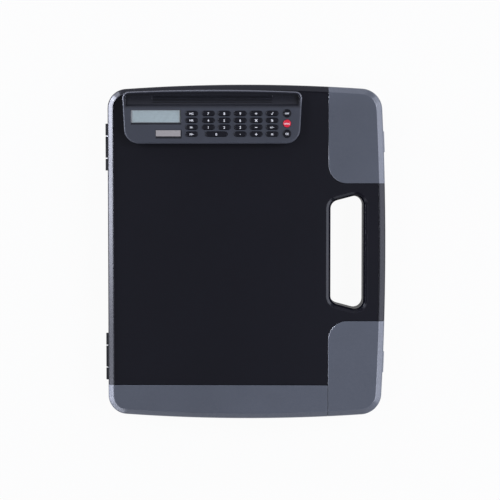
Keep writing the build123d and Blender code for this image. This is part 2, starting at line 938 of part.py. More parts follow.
def screw_places():
    """Places of the cover's screws: between the keys' middle rows, and in front of the display."""
    y = clip_front_y + top_row_y - 3 * row_pitch / 2
    display_front = display_y - display_height / 2 - window_flange
    round_keys_left = clip_x + round_column_x - round_diameter / 2 - key_gap - key_lip
    return [
        (clip_x + (memory_column_x + digit_column_x) / 2, y),
        (clip_x + digit_column_x + 5 * column_pitch / 2, y),
        (round_keys_left - boss_radius - boss_side_gap, y),
        (clip_x + solar_x - solar_width / 2 - solar_screw_side, clip_front_y + (clip_wall + display_front) / 2),
    ]


def screw_posts(radius, bottom, top):
    """A round post at each of the cover's screws."""
    return [post(radius, x, y, bottom, top) for x, y in screw_places()]


def sunk_frame(centre, width, height):
    """The shallow frame round a window, wider in front of it and at its right."""
    x, y = centre
    low = (x - width / 2 - window_gap, y - height / 2 - frame_front)
    high = (x + width / 2 + frame_right, y + height / 2 + window_gap)
    return prism(rectangle(low, high), clip_top - frame_depth, clip_top)


def clip_housing():
    """The moulded housing of the calculator clip."""
    body = prism(clip_outline(), clip_bottom, clip_top)
    body = fillet(body.faces().sort_by(Axis.Z)[-1].edges(), clip_edge_radius)
    body -= clip_hollow()
    body += lugs()
    body -= thumb_dish()
    body -= grip_grooves()
    body -= tail_cut()
    body += screw_posts(boss_radius, board_top, clip_inner_top)
    body -= screw_posts(screw_radius + screw_bore_gap, board_bottom, board_bottom + screw_reach)
    body -= bar_along_x(rod_radius + running_fit, clip_x, rod_length(), pivot_y, pivot_z)
    for name, x, y, length, height in keys():
        body -= prism(Pos(x, y) * key_face(length, height, key_gap), clip_inner_top - beyond / 5, clip_top)
    window = Rectangle(display_width + 2 * window_gap, display_height + 2 * window_gap)
    body -= prism(Pos(*display_centre()) * window, clip_inner_top, clip_top)
    body -= sunk_frame(display_centre(), display_width, display_height)
    pocket = Rectangle(solar_width + 2 * window_gap, solar_height + 2 * window_gap)
    body -= prism(Pos(*solar_centre()) * pocket, clip_top - solar_pocket, clip_top)
    return body - sunk_frame(solar_centre(), solar_width, solar_height)


def clip_cover():
    """The plate under the calculator, with posts that carry the board."""
    plan = clip_outline(clip_wall + cover_gap)
    cover = prism(plan, clip_bottom, cover_top)
    end_y = pivot_y - cover_end
    cover &= block(
        (clip_x - clip_width, clip_front_y, clip_bottom), (clip_x + clip_width, end_y, cover_top)
    )
    cover += screw_posts(post_radius, cover_top - cover_thickness / 2, board_bottom)
    head_top = clip_bottom + screw_head_height + screw_head_gap
    cover -= screw_posts(screw_head_radius + screw_head_gap, clip_bottom - beyond, head_top)
    return cover - screw_posts(screw_radius + screw_head_gap, clip_bottom, board_bottom)


def cover_screws():
    """The screws of the cover, each with a flat head."""
    screws = []
    head_bottom = clip_bottom + screw_head_gap
    for x, y in screw_places():
        head = post(screw_head_radius, x, y, head_bottom, head_bottom + screw_head_height)
        shank = post(screw_radius, x, y, head_bottom, board_bottom + screw_reach - screw_head_gap)
        screws.append(head + shank)
    return Compound(children=screws)


def jaw_pad():
    """The rubber strip that grips the paper."""
    front = clip_front_y + pad_front
    pad = block(
        (clip_x - pad_half_length, front, clip_bottom - pad_thickness),
        (clip_x + pad_half_length, front + pad_width, clip_bottom),
    )
    return fillet(pad.edges().filter_by(Axis.X).group_by(Axis.Z)[0], pad_thickness / 3)


# Calculator parts

def circuit_board():
    """The board, with clearance holes for the screws."""
    low = (clip_x + board_left, clip_front_y + board_front, board_bottom)
    board = block(low, (clip_x + board_right, clip_front_y + board_back, board_top))
    return board - screw_posts(screw_radius + screw_head_gap, board_bottom - beyond, clip_top)


def keypad_membrane():
    """The rubber sheet on the board, with a dome under each key."""
    left = memory_column_x - pill_length / 2 - membrane_margin
    right = round_column_x + round_diameter / 2
    sheet = block(
        (clip_x + left, clip_front_y + board_front, board_top),
        (clip_x + right, clip_front_y + board_back, membrane_top),
    )
    dome = Cone(dome_radius, dome_top_radius, dome_height)
    for name, x, y, length, height in keys():
        sheet += Pos(x, y, membrane_top + dome_height / 2) * dome
    return sheet - screw_posts(boss_radius + key_gap, board_top - beyond, clip_top)


def cell_centre():
    """Middle of the battery, seen from above: its holder lies at the cover's rear edge."""
    holder_radius = cell_radius + cell_gap + cell_wall
    return clip_x + display_x, pivot_y - cover_end - cell_margin - holder_radius


def button_cell():
    """The round battery under the board."""
    x, y = cell_centre()
    cell = post(cell_radius, x, y, cover_top + cell_gap, board_bottom - cell_gap)
    return chamfer(cell.edges().sort_by(Axis.Z)[0], cell_gap)


def cell_holder():
    """The ring on the cover that keeps the battery in place, slotted on one side."""
    x, y = cell_centre()
    inner = cell_radius + cell_gap
    top = board_bottom - cell_gap
    ring = post(inner + cell_wall, x, y, cover_top, top) - post(inner, x, y, cover_top, top)
    slot = block((x, y - cell_slot / 2, cover_top), (x + inner + 2 * cell_wall, y + cell_slot / 2, top))
    return ring - slot


def display_centre():
    """Middle of the display, seen from above."""
    return clip_x + display_x, clip_front_y + display_y


def solar_centre():
    """Middle of the solar cell, seen from above."""
    return clip_x + solar_x, clip_front_y + solar_y


def display_window():
    """The clear window over the display, held by a flange under the housing's face."""
    place = Pos(*display_centre())
    pane = prism(place * Rectangle(display_width, display_height), clip_inner_top, clip_top + display_proud)
    flange_size = (display_width + 2 * window_flange, display_height + 2 * window_flange)
    flange = prism(place * Rectangle(*flange_size), clip_inner_top - window_flange_height, clip_inner_top)
    return pane + flange


def display_panel():
    """The display's glass under the window."""
    size = (display_width - 2 * display_glass_margin, display_height + 2 * display_glass_margin)
    return prism(Pos(*display_centre()) * Rectangle(*size), display_bottom, display_bottom + display_glass)


def zebra_strip():
    """The rubber strip that joins the display to the board."""
    x, y = display_centre()
    half = display_width / 2 - zebra_margin
    near = y - display_height / 2
    return block((x - half, near, board_top), (x + half, near + zebra_width, display_bottom))


def solar_cell():
    """The solar cell in its pocket."""
    bottom = clip_top - solar_pocket
    plate = Rectangle(solar_width, solar_height)
    return prism(Pos(*solar_centre()) * plate, bottom, bottom + solar_thickness)


def keys():
    """Each key's name, centre, length and height, row by row."""
    pill_rows = (
        ("mc", "7", "8", "9", "divide", "root"),
        ("mr", "4", "5", "6", "multiply", "percent"),
        ("m_minus", "1", "2", "3", "minus", "sign"),
        ("m_plus", "", "", "point", "plus", "equals"),
    )
    columns = [memory_column_x] + [digit_column_x + i * column_pitch for i in range(5)]
    found = []
    for row, names in enumerate(pill_rows):
        y = clip_front_y + top_row_y - row * row_pitch
        for name, column in zip(names, columns):
            if name:
                found.append((name, clip_x + column, y, pill_length, pill_height))
    zero_x = clip_x + digit_column_x + column_pitch / 2
    zero_y = clip_front_y + top_row_y - 3 * row_pitch
    found.append(("0", zero_x, zero_y, zero_length, pill_height))
    for row, name in enumerate(("off", "on_clear", "clear_entry")):
        y = clip_front_y + top_round_y - row * round_pitch
        found.append((name, clip_x + round_column_x, y, round_diameter, round_diameter))
    return found


def key_body(x, y, length, height):
    """A key: a cap through the face, a flange under it and a short stem."""
    flange_top = clip_inner_top - key_face_gap
    flange_bottom = flange_top - key_flange
    cap = prism(key_face(length, height), flange_bottom, clip_top + key_proud)
    cap = chamfer(cap.faces().sort_by(Axis.Z)[-1].edges(), key_edge)
    flange = prism(key_face(length, height, key_gap + key_lip), flange_bottom, flange_top)
    stem_radius = pill_height / 2 - key_stem_inset
    stem = post(stem_radius, 0, 0, flange_bottom - key_stem, flange_bottom)
    return Pos(x, y) * (cap + flange + stem)


# Every node, built and written

skin = trim_skin()
band, upper_corner, lower_corner = trims(skin)
latch = latch_body()

nodes = {
    "base_shell": base_shell(),
    "hinge_pins": hinge_pins(),
    "lid_shell": lid_shell(skin),
    "band_trim": band,
    "corner_trim_upper": upper_corner,
    "corner_trim_lower": lower_corner,
    "latch_upper": latch_place(1) * latch,
    "latch_lower": latch_place(-1) * latch,
    "latch_pins": latch_pins(),
    "clip_bracket": clip_bracket(),
    "bracket_rivets": bracket_rivets(),
    "clip_pivot_rod": pivot_rod(),
    "clip_springs": clip_springs(),
    "clip_housing": clip_housing(),
    "clip_cover": clip_cover(),
    "cover_screws": cover_screws(),
    "jaw_pad": jaw_pad(),
    "circuit_board": circuit_board(),
    "keypad_membrane": keypad_membrane(),
    "button_cell": button_cell(),
    "cell_holder": cell_holder(),
    "display_window": display_window(),
    "display_panel": display_panel(),
    "zebra_strip": zebra_strip(),
    "solar_cell": solar_cell(),
}
for name, x, y, length, height in keys():
    nodes["key_" + name] = key_body(x, y, length, height)

os.makedirs("parts", exist_ok=True)
for name, shape in nodes.items():
    export_step(shape, "parts/" + name + ".step")
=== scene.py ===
import json
import math

import bmesh
import bpy
from mathutils import Matrix, Vector


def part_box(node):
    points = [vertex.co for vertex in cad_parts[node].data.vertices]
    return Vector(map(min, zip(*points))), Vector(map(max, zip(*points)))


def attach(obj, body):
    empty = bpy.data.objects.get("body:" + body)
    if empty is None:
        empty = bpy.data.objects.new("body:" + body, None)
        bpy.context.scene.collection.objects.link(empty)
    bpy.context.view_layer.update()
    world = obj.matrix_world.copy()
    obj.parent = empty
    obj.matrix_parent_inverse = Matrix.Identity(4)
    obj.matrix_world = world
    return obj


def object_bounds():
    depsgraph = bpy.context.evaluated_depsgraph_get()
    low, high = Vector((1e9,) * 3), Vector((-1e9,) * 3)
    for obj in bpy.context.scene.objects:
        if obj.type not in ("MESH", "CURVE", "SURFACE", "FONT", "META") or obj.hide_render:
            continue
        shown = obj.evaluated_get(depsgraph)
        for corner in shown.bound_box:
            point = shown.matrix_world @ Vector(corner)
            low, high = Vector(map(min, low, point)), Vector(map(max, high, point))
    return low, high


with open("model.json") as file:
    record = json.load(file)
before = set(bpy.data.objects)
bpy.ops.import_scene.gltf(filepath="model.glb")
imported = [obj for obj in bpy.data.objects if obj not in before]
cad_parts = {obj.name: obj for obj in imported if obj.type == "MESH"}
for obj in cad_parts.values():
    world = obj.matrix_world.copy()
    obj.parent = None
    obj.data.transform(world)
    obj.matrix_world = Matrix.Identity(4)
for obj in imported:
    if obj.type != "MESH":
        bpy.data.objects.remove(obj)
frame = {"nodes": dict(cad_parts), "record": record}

# Document case with a calculator clip: finishes, printed legends and the studio. Metres.

nodes = frame["nodes"]
cad_low, cad_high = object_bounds()
scene = bpy.context.scene
mm = 0.001

# Places read from the frame
housing_low, housing_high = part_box("clip_housing")
window_low, window_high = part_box("display_window")
solar_low, solar_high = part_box("solar_cell")
pin_low, pin_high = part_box("hinge_pins")
face_z = housing_high.z
clip_x = (housing_low.x + housing_high.x) / 2
key_top_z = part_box("key_0")[1].z
panel_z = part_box("clip_bracket")[0].z

# The knuckles of the hinges lie left of this line, and the case lies right of it
hinge_line_x = (pin_low.x + pin_high.x) / 2 + 0.1 * mm

# The rim slopes down from the writing panel by this much
rim_depth = 9.0 * mm

# Thumb dish at the clip's back. Its raised edge reaches down this far, and faces away from
# an upright line inside the dish.
dish_front_y = housing_high.y - 17.9 * mm
dish_edge_depth = 1.4 * mm
dish_inside = (clip_x, dish_front_y + 3 * mm, 0.0)

# Grip grooves across the dish
groove_y = housing_high.y - 13.2 * mm
groove_pitch = 1.65 * mm
groove_count = 5
groove_half_length = 65.0 * mm

# Widths of the painted shade round the sunk window and solar cell, dark in their recesses
window_shade_margin = 1.2 * mm
solar_shade_margin = 2.5 * mm

# The window's flange is hidden under the housing, all round the part that shows
window_flange = 1.4 * mm

# The solar cell's film is cut into this many strips
solar_strips = 4

# Colours, written as they are seen
black_shell = (13, 13, 21)
trim_grey = (82, 86, 94)
latch_grey = (96, 99, 106)
housing_grey = (53, 56, 64)
dish_black = (27, 28, 35)
rim_highlight_grey = (88, 89, 95)
key_black = (19, 19, 25)
key_red = (207, 38, 58)
# Pale grey painted on the thumb dish's raised edge as a highlight
legend_white = (240, 240, 240)
legend_thin = (225, 225, 225)
display_teal = (154, 172, 171)
solar_pale = (159, 155, 151)
solar_line = (146, 134, 137)
resist_green = (28, 86, 48)
track_green = (60, 120, 70)
pin_steel = (176, 178, 182)
wire_steel = (140, 142, 148)
bright_steel = (196, 198, 200)
pad_black = (26, 26, 28)
dome_grey = (150, 150, 146)

# Colours in linear values
clear_acrylic = (0.97, 0.99, 0.98, 1.0)
paper_grey = (0.5, 0.5, 0.5, 1)
white = (1, 1, 1, 1)

# Most values of a noise lie in this range
noise_range = (0.3, 0.7)

# How far a side turns outwards, and a rounded normal from the flat one, before it counts
outward_range = (0.02, 0.06)
sharp_range = (0.02, 0.2)

# A moulding's wide drifts of tone, and the make of its sparked grain
clouding = {"scale": 14.0, "detail": 3.0}
sparked = {"detail": 4.0, "roughness": 0.6}


def linear(colour):
    """An sRGB colour of three bytes as linear values with full alpha."""
    def channel(value):
        share = value / 255
        return share / 12.92 if share <= 0.04045 else ((share + 0.055) / 1.055) ** 2.4
    return (*[channel(value) for value in colour], 1.0)


def lighter(colour, factor):
    """The same hue, its linear values multiplied."""
    return (*[min(1.0, channel * factor) for channel in colour[:3]], 1.0)


# Node helpers

def new_node(tree, kind, **settings):
    made = tree.nodes.new(kind)
    for key, value in settings.items():
        setattr(made, key, value)
    return made


class Finish:
    """A material under construction, with its node tree at hand."""

    def __init__(self, name):
        self.material = bpy.data.materials.new(name)
        self.material.use_nodes = True
        self.tree = self.material.node_tree
        self.shader = self.tree.nodes["Principled BSDF"]
        coordinates = self.node("ShaderNodeTexCoord")
        self.place = coordinates.outputs["Object"]
        self.facing = coordinates.outputs["Normal"]

    def node(self, kind, **settings):
        return new_node(self.tree, kind, **settings)

    def link(self, output, socket):
        self.tree.links.new(output, socket)

    def set(self, **values):
        """Values that are the same all over, on the shader's own sockets."""
        for key, value in values.items():
            self.shader.inputs[key.replace("_", " ")].default_value = value

    def paint(self, colour, rough):
        """A colour and a roughness that vary over the surface."""
        self.link(colour, self.shader.inputs["Base Color"])
        self.link(rough, self.shader.inputs["Roughness"])

    def grain(self, height, distance, normal=None):
        """A fine relief, on top of rounded edges where there are any."""
        bump = self.node("ShaderNodeBump")
        bump.inputs["Distance"].default_value = distance
        self.link(height, bump.inputs["Height"])
        if normal is not None:
            self.link(normal, bump.inputs["Normal"])
        self.link(bump.outputs[0], self.shader.inputs["Normal"])

    def noise(self, scale, detail=2.0, roughness=0.5):
        made = self.node("ShaderNodeTexNoise")
        self.link(self.place, made.inputs["Vector"])
        made.inputs["Scale"].default_value = scale
        made.inputs["Detail"].default_value = detail
        made.inputs["Roughness"].default_value = roughness
        return made.outputs["Fac"]

    def spread(self, noise, low=0.0, high=1.0):
        """Noise moved to another range."""
        made = self.node("ShaderNodeMapRange")
        self.link(noise, made.inputs["Value"])
        made.inputs["From Min"].default_value = noise_range[0]
        made.inputs["From Max"].default_value = noise_range[1]
        made.inputs["To Min"].default_value = low
        made.inputs["To Max"].default_value = high
        return made.outputs["Result"]

    def step(self, source, start, end):
        """0 below start, 1 above end, smooth between."""
        made = self.node("ShaderNodeMapRange", interpolation_type="SMOOTHSTEP")
        self.link(source, made.inputs["Value"])
        made.inputs["From Min"].default_value = start
        made.inputs["From Max"].default_value = end
        return made.outputs["Result"]

    def math(self, operation, first, second=None):
        made = self.node("ShaderNodeMath", operation=operation)
        for index, value in enumerate([first, second]):
            if value is None:
                continue
            if isinstance(value, (int, float)):
                made.inputs[index].default_value = value
            else:
                self.link(value, made.inputs[index])
        return made.outputs[0]

    def plus(self, first, second):
        return self.math("ADD", first, second)

    def minus(self, first, second):
        return self.math("SUBTRACT", first, second)

    def times(self, first, second):
        return self.math("MULTIPLY", first, second)

    def over(self, value, limit):
        return self.math("GREATER_THAN", value, limit)

    def under(self, value, limit):
        return self.math("LESS_THAN", value, limit)

    def within(self, value, low, high):
        """1 between low and high, 0 outside."""
        return self.times(self.over(value, low), self.under(value, high))

    def off_middle(self, value, start, pitch):
        """0 in the middle of each stretch of a row, 0.5 at the stretch's two ends."""
        phase = self.math("FRACT", self.math("DIVIDE", self.minus(value, start), pitch))
        return self.math("ABSOLUTE", self.minus(phase, 0.5))

    def mix(self, share, first, second):
        """Two colours mixed by a share that varies over the surface."""
        made = self.node("ShaderNodeMix", data_type="RGBA")
        self.link(share, made.inputs["Factor"])
        for socket, value in ((made.inputs[6], first), (made.inputs[7], second)):
            if isinstance(value, tuple):
                socket.default_value = value
            else:
                self.link(value, socket)
        return made.outputs[2]

    def drift(self, noise, base, darkest, palest):
        """A colour that drifts between two tones of its own hue."""
        return self.mix(self.spread(noise), lighter(base, darkest), lighter(base, palest))

    def axis(self, letter):
        """How far along X, Y or Z a point lies."""
        made = self.node("ShaderNodeSeparateXYZ")
        self.link(self.place, made.inputs[0])
        return made.outputs[letter]

    def vector(self, operation, first, second=None):
        made = self.node("ShaderNodeVectorMath", operation=operation)
        self.link(first, made.inputs[0])
        if isinstance(second, tuple):
            made.inputs[1].default_value = second
        elif second is not None:
            self.link(second, made.inputs[1])
        return made.outputs["Value" if operation == "DOT_PRODUCT" else "Vector"]

    def outward(self, centre):
        """1 where the surface faces away from an upright line through a point."""
        away = self.vector("SUBTRACT", self.place, centre)
        level = self.vector("MULTIPLY", away, (1.0, 1.0, 0.0))
        unit = self.vector("NORMALIZE", level)
        return self.step(self.vector("DOT_PRODUCT", unit, self.facing), *outward_range)

    def edges(self, radius):
        """How near a sharp edge is, and a normal that rounds it off."""
        bevel = self.node("ShaderNodeBevel", samples=6)
        bevel.inputs["Radius"].default_value = radius
        rounded = bevel.outputs[0]
        flat = self.node("ShaderNodeNewGeometry").outputs["Normal"]
        turned = self.minus(1.0, self.vector("DOT_PRODUCT", rounded, flat))
        return self.step(turned, *sharp_range), rounded


# Finishes

def painted_well_shade(f, shade, base):
    """A key's colour, with painted shade on the sides that go down into its well."""
    # Painted shade: darker below the key's crown, where its sides go down into the well
    well_shade_tone = 0.3
    sides_end, crown_start = key_top_z - 0.8 * mm, key_top_z - 0.35 * mm
    crown = f.step(f.axis("Z"), sides_end, crown_start)
    return f.mix(crown, lighter(base, well_shade_tone), shade)


def moulded(name, colour, rough, grain_scale, grain_height, edge_radius, specular,
            rim_polish=None, shade_in_well=False):
    """Moulded plastic: a sparked grain, faint clouding, and edges smoother from wear and painted
    paler, partly as wear and partly as a painted highlight.

    With rim_polish, the sloping rim is smoother than the panel, and the hinges are dull, with
    painted shade on them. With the well option, the sides get painted shade, as a key's do.
    """
    darkest, palest = 0.93, 1.07
    edge_wear_and_highlight, edge_polish, unevenness = 1.35, 0.08, 0.04
    f = Finish(name)
    base = linear(colour)
    near_edge, rounded = f.edges(edge_radius)
    clouds = f.drift(f.noise(**clouding), base, darkest, palest)
    # Edges painted paler: partly wear, partly a painted highlight
    shade = f.mix(near_edge, clouds, lighter(base, edge_wear_and_highlight))
    if shade_in_well:
        shade = painted_well_shade(f, shade, base)
    fine = f.noise(grain_scale, **sparked)
    varied = f.spread(fine, rough - unevenness, rough + unevenness)
    worn = f.times(near_edge, -edge_polish)
    if rim_polish:
        slope_start, slope_end = 0.1 * mm, 0.3 * mm
        grain_loss, hinge_dullness, hinge_shade_tone = 0.8, 0.5, 0.2
        z = f.axis("Z")
        off_panel = f.math("ABSOLUTE", f.minus(z, panel_z))
        on_rim = f.times(f.step(off_panel, slope_start, slope_end), f.over(z, panel_z - rim_depth))
        at_hinge = f.under(f.axis("X"), hinge_line_x)
        worn = f.minus(worn, f.times(on_rim, rim_polish))
        worn = f.plus(worn, f.times(at_hinge, hinge_dullness))
        # Painted shade on the hinge knuckles: the shell's own colour made darker there
        shade = f.mix(at_hinge, shade, lighter(base, hinge_shade_tone))
        fine = f.times(fine, f.minus(1.0, f.times(on_rim, grain_loss)))
    f.paint(shade, f.plus(varied, worn))
    f.set(Specular_IOR_Level=specular)
    f.grain(fine, grain_height, rounded)
    return f.material


def grooved(f, colour):
    """The dish's colour, with painted shade in its grip grooves and a painted highlight on the
    lands between them.
    """
    groove_shade_tone, land_highlight_tone = 0.1, 1.7
    groove_end, land_start = 0.2, 0.34
    y = f.axis("Y")
    along = f.within(f.axis("X"), clip_x - groove_half_length, clip_x + groove_half_length)
    first_edge = groove_y - groove_pitch / 2
    across = f.within(y, first_edge, first_edge + groove_count * groove_pitch)
    land = f.step(f.off_middle(y, first_edge, groove_pitch), groove_end, land_start)
    # Painted shade in the grooves, painted highlight on the lands
    ribbed_light_and_shade = f.mix(land, lighter(colour, groove_shade_tone), lighter(colour, land_highlight_tone))
    return f.mix(f.times(along, across), colour, ribbed_light_and_shade)


def dish_and_shaded_recesses(f, depth, in_dish, on_edge):
    """1 in the thumb dish, short of its raised edge, and in the painted shade of the recesses
    round the window and solar cell.
    """
    flush, deep = 0.2 * mm, 0.5 * mm
    x, y = f.axis("X"), f.axis("Y")
    sunk = f.step(depth, flush, deep)
    dark = f.times(in_dish, f.minus(1.0, on_edge))
    for low, high, margin in ((window_low, window_high, window_shade_margin),
                              (solar_low, solar_high, solar_shade_margin)):
        along = f.within(x, low.x - margin, high.x + margin)
        across = f.within(y, low.y - margin, high.y + margin)
        # Painted shade in the recesses round the window and solar cell
        dark = f.math("MAXIMUM", dark, f.times(f.times(along, across), sunk))
    return dark


def housing_plastic():
    """Grey housing with a dark thumb dish with a high polish, painted shade in the recesses round
    its windows and on the slope into the dish, a painted highlight on the dish's raised edge, and
    edges painted paler as wear and highlight.
    """
    front_slope = (dish_front_y - 3.4 * mm, dish_front_y + 0.2 * mm)
    dish_start = (dish_front_y - 0.2 * mm, dish_front_y + 0.1 * mm)
    polish_and_highlight_start = (dish_front_y, dish_front_y + 12 * mm)
    darkest, palest, edge_wear_and_highlight, slope_shade_tone = 0.94, 1.06, 1.3, 0.5
    matt, polish = (0.5, 0.58), 0.34
    f = Finish("clip_grey")
    base = linear(housing_grey)
    y = f.axis("Y")
    depth = f.minus(face_z, f.axis("Z"))
    in_dish = f.step(y, *dish_start)
    polish_and_highlight = f.step(y, *polish_and_highlight_start)
    on_edge = f.times(f.outward(dish_inside), f.under(depth, dish_edge_depth))
    near_edge, rounded = f.edges(radius=0.35 * mm)
    clouds = f.drift(f.noise(**clouding), base, darkest, palest)
    # Edges painted paler: partly wear, partly a painted highlight
    edged = f.mix(near_edge, clouds, lighter(base, edge_wear_and_highlight))
    # Painted shade on the slope down into the dish, darker towards the dish
    shaded = f.mix(f.step(y, *front_slope), edged, lighter(base, slope_shade_tone))
    # Painted highlight: the dish's raised edge painted pale grey, more so towards its back, where
    # its polish also makes it smoother
    edge_highlight_grey = f.mix(polish_and_highlight, edged, linear(rim_highlight_grey))
    rimmed = f.mix(f.times(in_dish, on_edge), shaded, edge_highlight_grey)
    dark = dish_and_shaded_recesses(f, depth, in_dish, on_edge)
    fine = f.noise(scale=2600.0, **sparked)
    rough = f.plus(f.spread(fine, *matt), f.times(polish_and_highlight, -polish))
    f.paint(f.mix(dark, rimmed, grooved(f, linear(dish_black))), rough)
    f.set(Specular_IOR_Level=0.5)
    f.grain(fine, 0.03 * mm, rounded)
    return f.material


def metal(name, colour, rough, grain_scale):
    """Steel with a fine uneven sheen."""
    smoothest, roughest = rough - 0.06, rough + 0.08
    f = Finish(name)
    fine = f.noise(grain_scale, detail=3.0, roughness=0.7)
    tone = f.drift(fine, linear(colour), darkest=0.85, palest=1.0)
    f.paint(tone, f.spread(fine, smoothest, roughest))
    f.set(Metallic=1.0)
    f.grain(fine, 0.01 * mm)
    return f.material


def rubber(name, colour, rough):
    """Dull rubber with a fine dusty grain."""
    smoothest, roughest = rough - 0.05, rough + 0.05
    f = Finish(name)
    fine = f.noise(scale=3200.0, detail=4.0, roughness=0.7)
    tone = f.drift(fine, linear(colour), darkest=0.8, palest=1.2)
    f.paint(tone, f.spread(fine, smoothest, roughest))
    f.set(Specular_IOR_Level=0.25)
    f.grain(fine, 0.02 * mm)
    return f.material


def clear_window():
    """Clear acrylic with the faintest haze."""
    f = Finish("window_clear")
    haze = f.noise(scale=60.0)
    f.link(f.spread(haze, low=0.01, high=0.05), f.shader.inputs["Roughness"])
    f.set(Base_Color=clear_acrylic, IOR=1.49, Alpha=0.16)
    f.grain(haze, 0.005 * mm)
    return f.material


def display_glass():
    """The display's pale greenish panel, dark beyond the window's own edge."""
    f = Finish("display_glass")
    base = linear(display_teal)
    pale_tone = 1.06
    inset = window_flange + 0.1 * mm
    shown = f.within(f.axis("Y"), window_low.y + inset, window_high.y - inset)
    fine = f.drift(f.noise(scale=900.0), base, darkest=0.97, palest=1.03)
    patches = f.spread(f.noise(scale=22.0, detail=1.0))
    panel = f.mix(patches, fine, lighter(base, pale_tone))
    rough = f.spread(f.noise(scale=300.0), low=0.3, high=0.4)
    f.paint(f.mix(shown, linear(dish_black), panel), rough)
    return f.material


def solar_film():
    """The solar cell: a pale brownish film cut into strips by thin lines."""
    f = Finish("solar")
    strip = (solar_high.y - solar_low.y) / solar_strips
    line = f.step(f.off_middle(f.axis("Y"), solar_low.y, strip), start=0.40, end=0.46)
    film = f.drift(f.noise(scale=500.0), linear(solar_pale), darkest=0.95, palest=1.04)
    rough = f.spread(f.noise(scale=200.0), low=0.25, high=0.35)
    f.paint(f.mix(line, film, linear(solar_line)), rough)
    return f.material


def green_board():
    """Green solder resist over faint copper tracks."""
    f = Finish("board")
    waves = f.node("ShaderNodeTexWave", wave_type="BANDS", bands_direction="DIAGONAL")
    f.link(f.place, waves.inputs["Vector"])
    waves.inputs["Scale"].default_value = 120.0
    waves.inputs["Distortion"].default_value = 6.0
    track = f.step(waves.outputs["Fac"], start=0.62, end=0.7)
    rough = f.spread(f.noise(scale=400.0), low=0.3, high=0.4)
    f.paint(f.mix(track, linear(resist_green), linear(track_green)), rough)
    f.grain(track, 0.02 * mm)
    return f.material


def legend_print():
    """White print, a little thin in places."""
    f = Finish("legend_print")
    ink = f.noise(scale=1500.0, detail=3.0)
    tone = f.mix(f.spread(ink), linear(legend_thin), linear(legend_white))
    f.paint(tone, f.spread(ink, low=0.45, high=0.6))
    return f.material


def key_plastic(name, colour, specular):
    """A key's matt plastic, sunk in its well, with painted shade on its sides."""
    return moulded(name, colour, rough=0.45, grain_scale=3000.0, grain_height=0.02 * mm,
                   edge_radius=0.3 * mm, specular=specular, shade_in_well=True)


finishes = {
    "black_shell": moulded("black_shell", black_shell, rough=0.38, grain_scale=2200.0,
                           grain_height=0.05 * mm, edge_radius=0.4 * mm, specular=0.3,
                           rim_polish=0.18),
    "grey_trim": moulded("grey_trim", trim_grey, rough=0.27, grain_scale=2600.0,
                         grain_height=0.02 * mm, edge_radius=0.3 * mm, specular=0.8),
    "grey_latch": moulded("grey_latch", latch_grey, rough=0.34, grain_scale=2600.0,
                          grain_height=0.02 * mm, edge_radius=0.25 * mm, specular=0.8),
    "clip_grey": housing_plastic(),
    "key_black": key_plastic("key_black", key_black, specular=0.2),
    "key_red": key_plastic("key_red", key_red, specular=0.25),
    "steel": metal("steel", pin_steel, rough=0.28, grain_scale=900.0),
    "spring_steel": metal("spring_steel", wire_steel, rough=0.3, grain_scale=1400.0),
    "cell_steel": metal("cell_steel", bright_steel, rough=0.22, grain_scale=700.0),
    "rubber_pad": rubber("rubber_pad", pad_black, rough=0.75),
    "membrane": rubber("membrane", dome_grey, rough=0.65),
    "board": green_board(),
    "window_clear": clear_window(),
    "display_glass": display_glass(),
    "solar": solar_film(),
}

slot_of_node = {part["node"]: part["material_slot"] for part in frame["record"]["subparts"]}
for name, obj in nodes.items():
    obj.data.materials.clear()
    obj.data.materials.append(finishes[slot_of_node[name]])


# Printed legends on the keys: the words, and their size in millimetres

digit_size = 3.8
legends = {
    "key_mc": ("MC", 3.2),
    "key_mr": ("MR", 3.2),
    "key_m_minus": ("M-", 3.2),
    "key_m_plus": ("M+", 3.2),
    **{f"key_{digit}": (digit, digit_size) for digit in "7894561230"},
    "key_point": (".", 5.0),
    "key_divide": ("÷", 5.4),
    "key_multiply": ("×", 6.4),
    "key_minus": ("−", 5.4),
    "key_plus": ("+", 5.2),
    "key_root": ("√", 4.3),
    "key_percent": ("%", 3.6),
    "key_sign": ("+/−", 3.4),
    "key_equals": ("=", 5.0),
    "key_off": ("OFF", 2.6),
    "key_on_clear": ("ON/C", 2.5),
    "key_clear_entry": ("CE", 3.0),
}
legend_height = 0.06 * mm
legend_drop = 0.3 * mm
legend_bold = 0.018
legend_ink = legend_print()


def word_mesh(words, size):
    """Words as a thin layer, shaped from text."""
    curve = bpy.data.curves.new("legend_curve", "FONT")
    curve.body = words
    curve.size = size * mm
    curve.offset = legend_bold * size * mm
    curve.extrude = legend_height / 2
    curve.resolution_u = 4
    holder = bpy.data.objects.new("legend_holder", curve)
    scene.collection.objects.link(holder)
    bpy.context.view_layer.update()
    shaped = holder.evaluated_get(bpy.context.evaluated_depsgraph_get())
    mesh = bpy.data.meshes.new_from_object(shaped)
    bpy.data.objects.remove(holder)
    bpy.data.curves.remove(curve)
    return mesh


def printed(node, words, size):
    """Words on a key's top, a thin layer of print that rides on the key."""
    mesh = word_mesh(words, size)
    low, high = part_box(node)
    xs = [v.co.x for v in mesh.vertices]
    ys = [v.co.y for v in mesh.vertices]
    centre = Vector(((min(xs) + max(xs)) / 2, (min(ys) + max(ys)) / 2, 0))
    seat = Vector(((low.x + high.x) / 2, (low.y + high.y) / 2 - legend_drop, high.z))
    mesh.transform(Matrix.Translation(seat - centre))
    mesh.materials.clear()
    mesh.materials.append(legend_ink)
    name = "legend_" + node.removeprefix("key_")
    mesh.name = name
    piece = bpy.data.objects.new(name, mesh)
    scene.collection.objects.link(piece)
    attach(piece, node)


for node, (words, size) in legends.items():
    printed(node, words, size)


# Floor and surroundings

floor_drop = 0.3 * mm
floor_size = 12.0

# How much of the floor is plain white: to the camera and through the window, and in gloss
seen_share = 0.95
glossy_share = 0.4

# The surroundings' strength as light. The camera sees them at 1, which is white.
world_level = 0.17
white_level = 1.0


